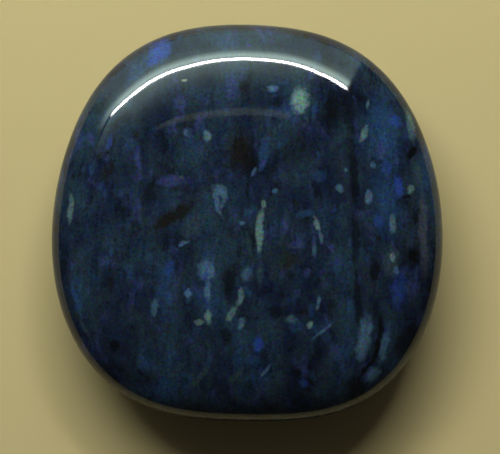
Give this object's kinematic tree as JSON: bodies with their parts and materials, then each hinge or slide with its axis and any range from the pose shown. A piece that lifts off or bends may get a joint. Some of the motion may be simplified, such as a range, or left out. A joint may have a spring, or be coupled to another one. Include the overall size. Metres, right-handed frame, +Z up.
{
  "type": "polished dumortierite palm stone",
  "caption": "Tumbled and polished dark blue stone, a flat rounded-square pillow that lies face up on a small flat spot; a pocket, palm or display stone.",
  "frame": {"origin": "middle of the stone's footprint, at the level of the flat spot that it rests on", "axes": "+Z up out of the polished face, through the stone's thickness; +Y towards its rounder end, along its length; +X across it"},
  "size_m": [0.04, 0.041, 0.0105],
  "materials": {
    "polished_dumortierite": "tumbled to a glassy polish; near-black violet blue with grey-green, lilac and pale blue streaks and grains"
  },
  "bodies": {
    "root": {"stone": "polished_dumortierite"}
  },
  "joints": []
}
